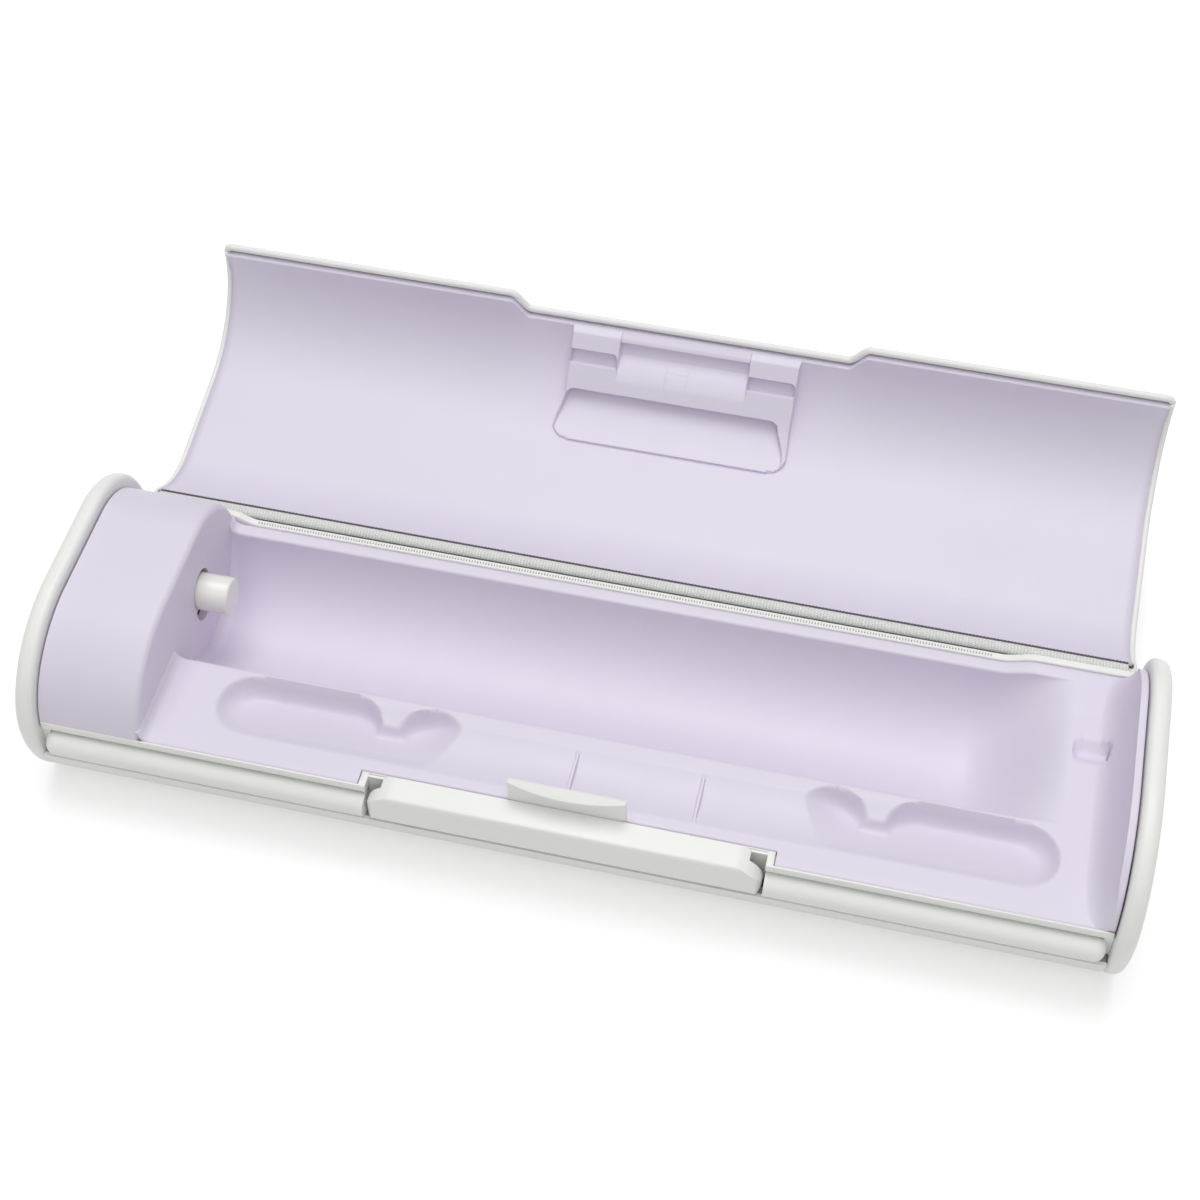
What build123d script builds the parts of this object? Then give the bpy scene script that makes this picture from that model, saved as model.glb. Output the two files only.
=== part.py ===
from build123d import *
from math import cos, radians, sin, sqrt
import os

# Travel case for an electric toothbrush, lid open.  Millimetres.
# X runs along the case with the charging block at -X, Y from the latch to the hinge, Z up.
# The origin is on the rest face, under the middle of the case.

# Case outline, seen along X
half_length = 124.0
half_depth = 36.0
case_height = 47.5
mid_height = case_height / 2
top_flat = (-8.0, 14.0)
rest_flat = (-20.0, 24.0)

# Walls and end caps
cap_thickness = 4.4
cap_inner_x = half_length - cap_thickness
skin_thickness = 0.9
shell_thickness = 1.7
moulding_x = 119.2
cover_inset = 3.0
cover_wall = 1.8

# Tray
shelf_top = 26.2
shelf_thickness = 1.5
tray_front = -32.6
tray_back = 32.4
trough_radius = 18.75
trough_wall = 1.5
trough_y = 10.25
trough_z = 26.5
trough_end_x = 104.0
trough_end_fillet = 14.0
pocket_radius = 8.0
pocket_y = -18.0
pocket_z = 27.4
pocket_wall = 1.3
pocket_mirror_x = 12.0
saddle_y = 12.0
saddle_radius = 2.3

# Charging block and pin
block_face_x = -95.8
face_plate = 2.0
pin_radius = 4.45
pin_y = 9.5
pin_z = 27.7
pin_end_x = -88.3
pivot_x = -100.0
pivot_z = 31.5
axle_radius = 1.2
running_gap = 0.05

# Charger's board
board_z = 6.2
board_thickness = 1.2
board_post_y = (-14.0, 20.0)

# Lid
lid_wall = 1.4
lid_half_length = 118.6
hinge_y = 34.2
hinge_z = 30.1
open_angle = 169.3
roll_edge_z = 24.2
notch_foot = 45.2
notch_head = 40.0
notch_depth = 4.5
lid_lip_z = 37.0
latch_x = 1.0

# Button and hook
button_half_length = 44.2
button_top = 27.3
button_bottom = 17.3
button_front = -36.2
button_back = -32.6
button_flange = 1.0
button_shoulder_radius = 6.8
button_foot_radius = 2.4
rail_notch_half = 44.5
tray_notch_half = 46.4
notch_back = -29.5
stem_offset = 34.0
stem_radius = 1.5
stem_z = 20.0


def outline(inset=0.0):
    """Face of the case's cross-section, moved in from the outer skin by inset."""
    rise = mid_height - inset
    front_y, back_y = top_flat
    rest_front, rest_back = rest_flat
    front_upper = EllipticalCenterArc((front_y, mid_height), half_depth + front_y - inset, rise, 90, arc_size=90)
    front_lower = EllipticalCenterArc((rest_front, mid_height), half_depth + rest_front - inset, rise, 180, arc_size=90)
    back_lower = EllipticalCenterArc((rest_back, mid_height), half_depth - rest_back - inset, rise, 270, arc_size=90)
    back_upper = EllipticalCenterArc((back_y, mid_height), half_depth - back_y - inset, rise, 0, arc_size=90)
    top = Line((back_y, case_height - inset), (front_y, case_height - inset))
    rest = Line((rest_front, inset), (rest_back, inset))
    return make_face([front_upper, front_lower, rest, back_lower, back_upper, top])


def along_x(profile, start, end):
    """Profile drawn in Y and Z, extruded along X from start to end."""
    return extrude(Plane.YZ.offset(start) * profile, end - start)


def block(x_range, y_range, z_range):
    """Box given by its three ranges."""
    size = [high - low for low, high in (x_range, y_range, z_range)]
    middle = [(high + low) / 2 for low, high in (x_range, y_range, z_range)]
    return Pos(*middle) * Box(*size)


def polygon(*points):
    """Flat face with the given corners, in order."""
    return make_face(Polyline(*points, close=True))


def rod(radius, start, end, y, z):
    """Round bar along X."""
    return Pos((start + end) / 2, y, z) * Rot(0, 90, 0) * Cylinder(radius, end - start)


def upright(radius, low, high, x, y):
    """Round bar along Z."""
    return Pos(x, y, (low + high) / 2) * Cylinder(radius, high - low)


def save(shape, name):
    """Write one node."""
    export_step(shape, f"parts/{name}.step")


# ---------------------------------------------------------------- base: shell, skin, caps

def base_wall(inset, thickness, front_top, back_top, half):
    """Open bowl that follows the lower half of the outline."""
    bowl = along_x(outline(inset) - outline(inset + thickness), -half, half)
    bowl -= block((-150, 150), (-50, 0), (front_top, 60))
    bowl -= block((-150, 150), (0, 50), (back_top, 60))
    return bowl


def base_shell():
    """Stiff lower bowl, with two posts for the charger's board."""
    bowl = base_wall(skin_thickness, shell_thickness, 16.4, 21.8, cap_inner_x - 0.2)
    floor = skin_thickness + shell_thickness
    for y in board_post_y:
        bowl += upright(2.6, floor - 0.4, board_z, -108, y)
        bowl -= upright(0.9, floor + 0.8, board_z + 1, -108, y)
    return bowl


def base_skin():
    """Soft cover glued round the bowl; its flat underside is what the case rests on."""
    return base_wall(0, skin_thickness, 16.4, 25.4, cap_inner_x - 0.1)


def end_cap(side):
    """Moulded end plate with rounded rims and a spigot that locates in the bowl."""
    plate = along_x(outline(), cap_inner_x, half_length)
    outer_rim = plate.faces().sort_by(Axis.X)[-1].edges()
    plate = fillet(outer_rim, 2.2)
    inner_rim = plate.faces().filter_by(Axis.X).sort_by(Axis.X)[0].edges()
    plate = fillet(inner_rim, 1.4)
    bowl_inset = skin_thickness + shell_thickness
    spigot = along_x(outline(bowl_inset + 0.1) - outline(bowl_inset + 1.6), cap_inner_x - 3.5, cap_inner_x)
    spigot -= block((100, 130), (-50, 50), (11.5, 60))
    cap = plate + spigot
    return cap if side > 0 else mirror(cap, about=Plane.YZ)


inlet_y = 6.0
inlet_z = 12.0
inlet_radius = 4.2


def left_end_cap():
    """End cap beside the charger, with the opening for the low-voltage inlet."""
    return end_cap(-1) - rod(inlet_radius, -130, -118, inlet_y, inlet_z)


def power_socket():
    """Barrel inlet: round body, plug hole and centre contact."""
    body = rod(inlet_radius - 0.1, -123.4, -111, inlet_y, inlet_z)
    body += block((-119.4, -111), (inlet_y - 4.6, inlet_y + 4.6), (inlet_z - 4.6, inlet_z + 4.6))
    body -= rod(2.75, -124, -113, inlet_y, inlet_z)
    return body + rod(1.0, -121.5, -112.5, inlet_y, inlet_z)


# ---------------------------------------------------------------- base: rails and rolled edge

roll_radius = 3.1
roll_y = -33.2
roll_z = 19.8
notch_start = latch_x - rail_notch_half
notch_end = latch_x + rail_notch_half


def front_rail():
    """White strip under the tray's front edge, with the groove that the lid closes into."""
    section = polygon((-33.1, 26.2), (-32.6, 26.2), (-32.6, 24.7), (-28.8, 24.7), (-28.8, 12.0),
                      (-30.0, 12.0), (-30.0, 22.6), (-31.9, 23.3), (-31.9, 24.0), (-33.1, 24.0))
    rail = along_x(section, -moulding_x, moulding_x)
    half = tray_notch_half - 0.3
    rail += block((latch_x - half, latch_x + half), (-33.1, notch_back + 0.3), (24.0, shelf_top))
    rail -= block((notch_start, notch_end), (-40, notch_back), (10, 30))
    rail -= block((notch_start + 1, notch_end - 1), (-40, -20), (10, 23.2))
    return rail


def front_roll(start, end, outer_end):
    """Rolled edge of the skin, with a tongue that fixes it to the rail."""
    roll = rod(roll_radius, start, end, roll_y, roll_z)
    tip = roll.faces().sort_by(Axis.X)[0 if outer_end < 0 else -1].edges()
    roll = fillet(tip, 2.6)
    inner_start = start + 4 if outer_end < 0 else start
    inner_end = end if outer_end < 0 else end - 4
    return roll + block((inner_start, inner_end), (roll_y, -30.0), (18.8, 20.8))


def rear_rail():
    """White strip behind the trough, raised in a soft step at both ends."""
    foot = polygon((30.4, 15.0), (31.4, 15.0), (31.4, 21.8), (34.2, 21.8), (34.2, 30.0),
                   (32.4, 30.0), (32.4, 22.8), (30.4, 22.8))
    rail = along_x(foot, -moulding_x, moulding_x)
    low, high = 26.4, 28.5
    left = Spline((-97.0, high), (-90.0, low), tangents=[(1, 0), (1, 0)])
    right = Spline((88.0, low), (97.0, high), tangents=[(1, 0), (1, 0)])
    crest = [Line((-125, high), left @ 0), left, Line(left @ 1, right @ 0), right, Line(right @ 1, (125, high))]
    above = Polyline((125, high), (125, 40), (-125, 40), (-125, high))
    trim = make_face(crest + [above])
    return rail - extrude(Plane.XZ.offset(-40) * trim, 20)


# ---------------------------------------------------------------- tray

def trough(radius, end_x, end_fillet):
    """Half-round channel whose right end turns up in a large radius: turned about its own axis."""
    start_x = block_face_x
    corner = CenterArc((end_x - end_fillet, radius - end_fillet), end_fillet, 0, 90)
    sides = [Line((start_x, 0), (end_x, 0)), Line((end_x, 0), corner @ 0), corner,
             Line(corner @ 1, (start_x, radius)), Line((start_x, radius), (start_x, 0))]
    half = make_face(sides)
    return Pos(0, trough_y, trough_z) * Rot(90, 0, 0) * revolve(Plane.XZ * half, Axis.X, 180)


def capsule(start, end, radius, y, z):
    """Round-ended bar along X."""
    bar = rod(radius, start + radius, end - radius, y, z)
    return bar + Pos(start + radius, y, z) * Sphere(radius) + Pos(end - radius, y, z) * Sphere(radius)


def pocket(grow):
    """Left brush-head pocket: long lobe, neck and short lobe."""
    radius = pocket_radius + grow
    long_lobe = capsule(-82.5 - grow, -44.0 + grow, radius, pocket_y, pocket_z)
    short_lobe = capsule(-41.5 - grow, -25.5 + grow, radius, pocket_y, pocket_z)
    neck = rod(5.6 + grow, -50, -36, pocket_y - 1.5, pocket_z)
    return long_lobe + short_lobe + neck


def both_pockets(grow):
    """The pocket and its mirror image to the right of the latch."""
    left = pocket(grow)
    return left + mirror(left, about=Plane.YZ.offset(pocket_mirror_x))


def raised_end(start, end):
    """Solid end of the insert: the case outline above the shelf, set in between the two rails."""
    lump = along_x(outline(cover_inset), start, end)
    lump -= block((-150, 150), (-60, 60), (-10, shelf_top - shelf_thickness))
    lump -= block((-150, 150), (-60, tray_front), (-10, shelf_top))
    return lump - block((-150, 150), (tray_back, 60), (-10, 28.6))


def end_bulkhead():
    """Raised right end that follows the case outline and falls to the shelf in a hollow curve."""
    wall = raised_end(111.0, moulding_x)
    cove = EllipticalCenterArc((111.6, shelf_top + 16.5), 6.4, 16.5, 270, arc_size=90)
    scoop = make_face([cove, Polyline(cove @ 1, (118.0, 60), (100, 60), (100, shelf_top), cove @ 0)])
    return wall - extrude(Plane.XZ.offset(-60) * scoop, 120)


def tray():
    """Lilac insert: shelf, trough, pockets, centre recess with two ribs, and end bulkhead."""
    under = shelf_top - shelf_thickness
    shelf = block((block_face_x, moulding_x), (tray_front, tray_back), (under, shelf_top))
    notch = (latch_x - tray_notch_half, latch_x + tray_notch_half)
    shelf -= block(notch, (-40, notch_back + 0.5), (20, 30))
    below = block((-150, 150), (-60, 60), (-10, shelf_top))
    walls = trough(trough_radius + trough_wall, trough_end_x + trough_wall, trough_end_fillet + trough_wall)
    walls += both_pockets(pocket_wall)
    walls += rod(saddle_radius + pocket_wall, 106.5 - pocket_wall, 118.5, saddle_y, shelf_top)
    body = shelf + (walls & below) + end_bulkhead()
    recess = along_x(Pos(-19.5, shelf_top + 16.0) * Circle(17.3), -33, 57)
    for rib_x in (0.0, 28.4):
        recess -= block((rib_x - 0.4, rib_x + 0.4), (-40, -10), (20, 30))
    body -= recess & block((-150, 150), (-26, -10), (20, 40))
    body -= both_pockets(0)
    body -= trough(trough_radius, trough_end_x, trough_end_fillet)
    return body - rod(saddle_radius, 106.5, 117.0, saddle_y, shelf_top)


# ---------------------------------------------------------------- charging block

slot_half_width = 4.8
slot_top = 33.6
slot_bottom = 19.2


def obround(half_width, low, high):
    """Upright slot shape with round ends."""
    ends = [Pos(pin_y, low + half_width) * Circle(half_width), Pos(pin_y, high - half_width) * Circle(half_width)]
    middle = Pos(pin_y, (low + high) / 2) * Rectangle(2 * half_width, high - low - 2 * half_width)
    return ends[0] + ends[1] + middle


def block_cover():
    """Hollow moulding over the charger, with a face plate that closes the trough's left end."""
    floor = shelf_top - shelf_thickness
    cover = raised_end(-moulding_x, block_face_x)
    crown = [edge for edge in cover.faces().sort_by(Axis.X)[-1].edges() if edge.center().Z > 29]
    cover = fillet(crown, 1.6)
    cavity = along_x(outline(cover_inset + cover_wall), -moulding_x + 1.6, block_face_x - face_plate)
    cover -= cavity - block((-150, -50), (-60, 60), (-10, floor - 5))
    apron = along_x(Pos(trough_y, trough_z) * Circle(trough_radius + trough_wall),
                    block_face_x - face_plate, block_face_x)
    cover += apron & block((-150, -50), (-60, 60), (-10, trough_z))
    return cover - along_x(obround(slot_half_width, slot_bottom, slot_top), block_face_x - 5, block_face_x + 1)


# ---------------------------------------------------------------- charging pin

def pin_sleeve():
    """White charging pin: round-nosed sleeve, hollow for the coil, on a flap that fills the slot."""
    sleeve = rod(pin_radius, -98.4, pin_end_x, pin_y, pin_z)
    sleeve = fillet(sleeve.faces().sort_by(Axis.X)[-1].edges(), 0.6)
    flap = along_x(obround(slot_half_width - 0.3, 19.7, 32.15), -99.4, -98.0)
    lugs = block((-101.3, -98.6), (pin_y - 4.5, pin_y - 2.5), (29.6, 33.2))
    lugs += block((-101.3, -98.6), (pin_y + 2.5, pin_y + 4.5), (29.6, 33.2))
    body = sleeve + flap + lugs
    body -= rod(3.4, -100, pin_end_x - 1.2, pin_y, pin_z)
    return body - pin_bore(axle_radius)


def pin_bore(radius):
    """Bar along Y on the pin's tilt axis."""
    return Pos(pivot_x, pin_y, pivot_z) * Rot(90, 0, 0) * Cylinder(radius, 40)


def pin_axle():
    """Steel axle fixed in the pin's lugs."""
    return Pos(pivot_x, pin_y, pivot_z) * Rot(90, 0, 0) * Cylinder(axle_radius, 16)


def pin_bracket():
    """Two cheeks hanging from the block cover that carry the axle."""
    cheeks = None
    for y in (pin_y - 6.2, pin_y + 6.2):
        cheek = block((-104.0, -98.2), (y - 1, y + 1), (28.4, 45))
        cheeks = cheek if cheeks is None else cheeks + cheek
    bridge = block((-104.0, -98.2), (pin_y - 7.2, pin_y + 7.2), (40.6, 45))
    bracket = (cheeks + bridge) & along_x(outline(cover_inset + cover_wall), -110, -90)
    return bracket - pin_bore(axle_radius + running_gap)


def ferrite_core():
    """Rod inside the coil."""
    return rod(1.9, -99.0, pin_end_x - 1.6, pin_y, pin_z)


def charging_coil():
    """Winding between the core and the sleeve."""
    return rod(3.3, -98.6, pin_end_x - 2.0, pin_y, pin_z) - rod(1.95, -110, -80, pin_y, pin_z)


def circuit_board():
    """Charger board on its two posts, with its main components."""
    top = board_z + board_thickness
    board = block((-115.9, -100.5), (-20.0, 25.0), (board_z, top))
    for y in board_post_y:
        board -= upright(1.2, board_z - 1, top + 1, -108, y)
    board += upright(3.2, top, top + 8, -106, -5)
    board += block((-107.5, -102.5), (12.0, 16.5), (top, top + 1.6))
    return board + block((-105.5, -101.5), (2.5, 7.0), (top, top + 4))


def board_screws():
    """Two pan-head screws that hold the board."""
    top = board_z + board_thickness
    screws = [upright(2.0, top, top + 1.4, -108, y) + upright(0.88, board_z - 2.0, top, -108, y)
              for y in board_post_y]
    return Compound(screws)


# ---------------------------------------------------------------- hinge band

def hinge_band():
    """Woven band from its slot behind the rear rail, over to the lid's lip."""
    centre_line = [Line((34.65, 22.0), (34.65, 25.6)), ThreePointArc((34.65, 25.6), (35.4, 27.0), (36.9, 26.9)),
                   Line((36.9, 26.9), (38.2, 25.9))]
    return along_x(trace(centre_line, 0.6), -117.0, 117.0)


# ---------------------------------------------------------------- lid

def opened(shape):
    """Turn a piece from the closed pose, where it is drawn, to the open rest pose."""
    hinge = Axis((0, hinge_y, hinge_z), (1, 0, 0))
    return shape.rotate(hinge, -open_angle)


def notch_cutter(grow):
    """Shape that opens the lid's front edge, grow away from the centre line of the rolled edge."""
    foot, head = notch_foot + 0.37 * grow, notch_head + 0.37 * grow
    low = roll_edge_z + grow
    corners = [(-foot - 2, low - 9), (-foot, low), (-head, low + notch_depth),
               (head, low + notch_depth), (foot, low), (foot + 2, low - 9)]
    return extrude(Plane.XZ.offset(60) * Pos(latch_x, 0) * polygon(*corners), -40)


def lid_wall_between(inset, thickness, edge_gap, half):
    """Part of the outline that belongs to the lid, with the notch cut."""
    wall = along_x(outline(inset) - outline(inset + thickness), -half, half)
    wall -= block((-150, 150), (-60, 3), (-10, roll_edge_z + edge_gap))
    wall -= block((-150, 150), (3, 60), (-10, lid_lip_z))
    return wall - notch_cutter(edge_gap)


def lid_shell():
    """Lilac inner moulding of the lid."""
    return lid_wall_between(skin_thickness, lid_wall, 1.3, lid_half_length)


def lid_skin():
    """Soft cover on the outside of the lid."""
    return lid_wall_between(0, skin_thickness, 1.0, lid_half_length + 0.3)


def lid_piping():
    """Rolled edge of the lid's cover, following the notch."""
    low, high = (-35.1, roll_edge_z), (-34.5, roll_edge_z + notch_depth)
    corners = [(-lid_half_length, *low), (latch_x - notch_foot, *low), (latch_x - notch_head, *high),
               (latch_x + notch_head, *high), (latch_x + notch_foot, *low), (lid_half_length, *low)]
    path = FilletPolyline(*corners, radius=2.5)
    return sweep(Plane(path @ 0, z_dir=path % 0) * Circle(0.8), path=path)


housing_half = 28.7


def catch_housing():
    """Block behind the lid's notch: two teeth, a recess for the hook and a deep pocket under a ledge."""
    bed = skin_thickness + lid_wall + 0.02
    body = polygon((-34, 30.0), (-30.6, 30.0), (-20.9, 38.4), (-21.6, 39.6), (-19.0, 42.0), (-24.0, 47))
    body = along_x(body & outline(bed), latch_x - housing_half, latch_x + housing_half)
    rim = outline(bed) - outline(bed + 0.7)
    rim = along_x(rim, latch_x - housing_half, latch_x + housing_half)
    body += rim & block((-60, 60), (-24.0, -9.2), (38, 50))
    body -= block((latch_x - 16.3, latch_x + 16.3), (-40, -26), (20, 35.2))
    for side in (-1, 1):
        middle = latch_x + side * 22.5
        body -= block((middle - 4.6, middle + 4.6), (-40, -24), (32.6, 35.0))
    return body


# ---------------------------------------------------------------- release button

def button_bar():
    """Long pill-shaped button with a top flange that slides over the tray's edge."""
    start, end = latch_x - button_half_length, latch_x + button_half_length
    under = button_top - button_flange
    crown = ThreePointArc((-34.8, button_top), (-35.65, button_top - 0.35), (-36.0, button_top - 1.2))
    front = ThreePointArc(crown @ 1, (button_front, 22.5), (-35.8, button_bottom + 1.3))
    foot = ThreePointArc(front @ 1, (-35.4, button_bottom + 0.4), (-34.5, button_bottom))
    sides = Polyline(foot @ 1, (button_back, button_bottom), (button_back, under),
                     (-29.9, under), (-29.9, button_top), crown @ 0)
    bar = along_x(make_face([crown, front, foot, sides]), start, end)
    plan = Pos((start + end) / 2, -33.0) * SlotOverall(end - start, 6.5)
    bar &= extrude(Plane.XY.offset(10) * plan, 30)
    bar &= extrude(Plane.XZ.offset(25) * Pos(latch_x, 0) * button_front_view(), 15)
    for x in (latch_x - stem_offset, latch_x + stem_offset):
        bar -= along_y(3.1, -34.6, button_back + 1, x)
        bar += along_y(stem_radius, -34.8, -28.0, x)
    return bar - block((latch_x - 10.2, latch_x + 12.2), (-33.2, -29), (under - 1, under + 0.5))


def button_front_view():
    """The button seen from the front: its upper corners are well rounded, to clear the lid's notch."""
    face = Pos(0, (button_top + button_bottom) / 2) * Rectangle(2 * button_half_length, button_top - button_bottom)
    face = fillet(face.vertices().sort_by(Axis.Y)[-2:], button_shoulder_radius)
    return fillet(face.vertices().sort_by(Axis.Y)[:2], button_foot_radius)


def along_y(radius, start, end, x):
    """Round bar along Y at the height of the button's stems."""
    return Pos(x, (start + end) / 2, stem_z) * Rot(90, 0, 0) * Cylinder(radius, end - start)


def latch_hook():
    """Upright tongue with a forward lip, rounded in plan, lapped under the button's flange."""
    under = button_top - button_flange
    start, end = -12.0, 14.2
    middle = (start + end) / 2
    plate = polygon((-29.8, under + 0.1), (-28.3, under + 0.1), (-28.3, 33.6), (-28.9, 34.0), (-31.1, 32.9),
                    (-31.1, 32.3), (-29.8, 32.3))
    hook = along_x(plate, start, end)
    plan_radius = 58.0
    plan = Pos(middle, -31.1 + plan_radius) * Circle(plan_radius)
    hook &= extrude(Plane.XY.offset(20) * plan, 20)
    return hook + block((latch_x - 10.0, latch_x + 12.0), (-33.1, -29.0), (under + 0.05, under + 0.5))


def button_guide():
    """Fixed plate behind the button: the stems slide in it and the springs push against it."""
    plate = block((latch_x - 41, latch_x + 41), (-29.4, -28.0), (12.5, 23.0))
    for x in (latch_x - stem_offset, latch_x + stem_offset):
        plate -= along_y(stem_radius + running_gap, -40, -20, x)
    return plate


def button_spring(x):
    """Compression spring round one stem, of six-sided wire."""
    turns, wire, radius = 4.5, 0.24, 2.2
    length = 4.6
    path = Helix(length / turns, length, radius)
    coil = sweep(Plane(path @ 0, z_dir=path % 0) * RegularPolygon(wire, 6), path=path)
    return Pos(x, -29.7, stem_z) * Rot(90, 0, 0) * coil


def build():
    """Write every node."""
    os.makedirs("parts", exist_ok=True)
    save(base_shell(), "base_shell")
    save(base_skin(), "base_skin")
    save(left_end_cap(), "left_end_cap")
    save(end_cap(1), "right_end_cap")
    save(power_socket(), "power_socket")
    save(front_rail(), "front_rail")
    save(front_roll(-118.6, notch_start - 0.2, -1), "front_roll_left")
    save(front_roll(notch_end + 0.2, 118.6, 1), "front_roll_right")
    save(rear_rail(), "rear_rail")
    save(tray(), "tray")
    save(block_cover(), "block_cover")
    save(pin_sleeve(), "pin_sleeve")
    save(pin_axle(), "pin_axle")
    save(pin_bracket(), "pin_bracket")
    save(ferrite_core(), "ferrite_core")
    save(charging_coil(), "charging_coil")
    save(circuit_board(), "circuit_board")
    save(board_screws(), "board_screws")
    save(hinge_band(), "hinge_band")
    save(opened(lid_shell()), "lid_shell")
    save(opened(lid_skin()), "lid_skin")
    save(opened(lid_piping()), "lid_piping")
    save(opened(catch_housing()), "catch_housing")
    save(button_bar(), "button_bar")
    save(latch_hook(), "latch_hook")
    save(button_guide(), "button_guide")
    save(button_spring(latch_x - stem_offset), "button_spring_left")
    save(button_spring(latch_x + stem_offset), "button_spring_right")


build()
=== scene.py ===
from math import acos, asin, cos, pi, radians, sin, sqrt

import bmesh
import bpy
from mathutils import Matrix, Vector


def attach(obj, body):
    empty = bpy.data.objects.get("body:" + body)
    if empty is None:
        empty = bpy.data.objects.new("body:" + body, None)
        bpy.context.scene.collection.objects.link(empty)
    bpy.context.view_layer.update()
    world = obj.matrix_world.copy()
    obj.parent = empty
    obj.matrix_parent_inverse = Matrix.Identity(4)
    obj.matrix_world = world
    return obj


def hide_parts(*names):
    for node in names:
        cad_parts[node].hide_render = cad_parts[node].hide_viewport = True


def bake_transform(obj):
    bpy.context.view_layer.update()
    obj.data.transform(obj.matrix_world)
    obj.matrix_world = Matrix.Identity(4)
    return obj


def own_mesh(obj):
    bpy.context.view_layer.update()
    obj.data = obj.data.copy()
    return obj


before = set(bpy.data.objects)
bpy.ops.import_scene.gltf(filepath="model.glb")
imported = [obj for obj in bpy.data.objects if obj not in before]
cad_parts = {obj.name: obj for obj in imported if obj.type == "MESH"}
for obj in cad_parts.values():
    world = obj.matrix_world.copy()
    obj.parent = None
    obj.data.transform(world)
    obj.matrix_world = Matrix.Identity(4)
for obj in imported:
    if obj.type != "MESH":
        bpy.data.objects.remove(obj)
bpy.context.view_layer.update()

# Lengths are in millimetres until a piece is finished, and X runs along the case, Y to the hinge, Z up.


# ------------------------------------------------------------------ end caps
# Injection-moulded white ABS plates, one at each end, with a fine satin spark texture.
# Each locates in the lower bowl with a spigot and hides the ends of every inner moulding.

def moulded_plastic(name, colour, roughness, grain=0.02, coat=0.0, shade_range=0.03):
    """Solid-coloured plastic: slow tint changes, fine spark-eroded grain and slightly uneven gloss."""
    material = bpy.data.materials.new(name)
    material.use_nodes = True
    nodes, links = material.node_tree.nodes, material.node_tree.links
    shader = nodes["Principled BSDF"]
    shader.inputs["IOR"].default_value = 1.5
    shader.inputs["Coat Weight"].default_value = coat
    shader.inputs["Coat Roughness"].default_value = 0.25
    place = nodes.new("ShaderNodeTexCoord")

    tint = nodes.new("ShaderNodeTexNoise")
    tint.inputs["Scale"].default_value = 18
    tint.inputs["Detail"].default_value = 3
    links.new(place.outputs["Object"], tint.inputs["Vector"])
    mix = nodes.new("ShaderNodeMix")
    mix.data_type = "RGBA"
    mix.inputs["A"].default_value = (*[part * (1 - shade_range) for part in colour], 1)
    mix.inputs["B"].default_value = (*[min(1, part * (1 + shade_range)) for part in colour], 1)
    links.new(tint.outputs["Fac"], mix.inputs["Factor"])
    links.new(mix.outputs["Result"], shader.inputs["Base Color"])

    wear = nodes.new("ShaderNodeTexNoise")
    wear.inputs["Scale"].default_value = 95
    wear.inputs["Detail"].default_value = 5
    links.new(place.outputs["Object"], wear.inputs["Vector"])
    gloss = nodes.new("ShaderNodeMapRange")
    gloss.inputs["To Min"].default_value = roughness - 0.06
    gloss.inputs["To Max"].default_value = roughness + 0.06
    links.new(wear.outputs["Fac"], gloss.inputs["Value"])
    links.new(gloss.outputs["Result"], shader.inputs["Roughness"])

    spark = nodes.new("ShaderNodeTexNoise")
    spark.inputs["Scale"].default_value = 3200
    spark.inputs["Detail"].default_value = 2
    links.new(place.outputs["Object"], spark.inputs["Vector"])
    bump = nodes.new("ShaderNodeBump")
    bump.inputs["Strength"].default_value = 0.35
    bump.inputs["Distance"].default_value = grain / 1000
    links.new(spark.outputs["Fac"], bump.inputs["Height"])
    links.new(bump.outputs["Normal"], shader.inputs["Normal"])
    return material


def finish_node(name, material):
    """Give a construction piece, whose shape is already final, its surface."""
    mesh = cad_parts[name].data
    mesh.materials.clear()
    mesh.materials.append(material)


white_plastic = moulded_plastic("white_satin_plastic", (0.86, 0.86, 0.835), 0.40)
for cap in ("left_end_cap", "right_end_cap"):
    finish_node(cap, white_plastic)


# ------------------------------------------------------------------ lower bowl
# The stiff grey bowl carries the charger's board; a soft-touch white cover is glued round it.
# Its lowest face is flat, and the case rests on it.

grey_plastic = moulded_plastic("grey_inner_plastic", (0.33, 0.33, 0.34), 0.5)
soft_cover = moulded_plastic("white_soft_cover", (0.86, 0.86, 0.84), 0.55, grain=0.05)
finish_node("base_shell", grey_plastic)
finish_node("base_skin", soft_cover)


# ------------------------------------------------------------------ rolls and rails
# The cover's front edge is rolled over a cord on each side of the button. White rails are snapped in
# along the front and the back, and leave the groove that the lid closes into. Small return walls close
# the ends of the front rail and of the button's well.

finish_node("front_roll_left", soft_cover)
finish_node("front_roll_right", soft_cover)


def softened(name, material, body, edge, merge_flats=True, added=()):
    """Moulded piece with its crisp edges slightly rounded, made from the construction's shape."""
    shape = bmesh.new()
    shape.from_mesh(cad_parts[name].data)
    bmesh.ops.scale(shape, vec=(1000, 1000, 1000), verts=shape.verts)
    bmesh.ops.remove_doubles(shape, verts=shape.verts, dist=0.002)
    if merge_flats:
        bmesh.ops.dissolve_limit(shape, angle_limit=radians(0.6), verts=shape.verts, edges=shape.edges)
    for low, high in added:
        corners = bmesh.ops.create_cube(shape, size=1)["verts"]
        bmesh.ops.scale(shape, vec=Vector(high) - Vector(low), verts=corners)
        bmesh.ops.translate(shape, vec=(Vector(high) + Vector(low)) / 2, verts=corners)
    return piece(name + "_moulding", shape, material, body, [name], round_edges=edge, smooth_angle=30)


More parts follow.
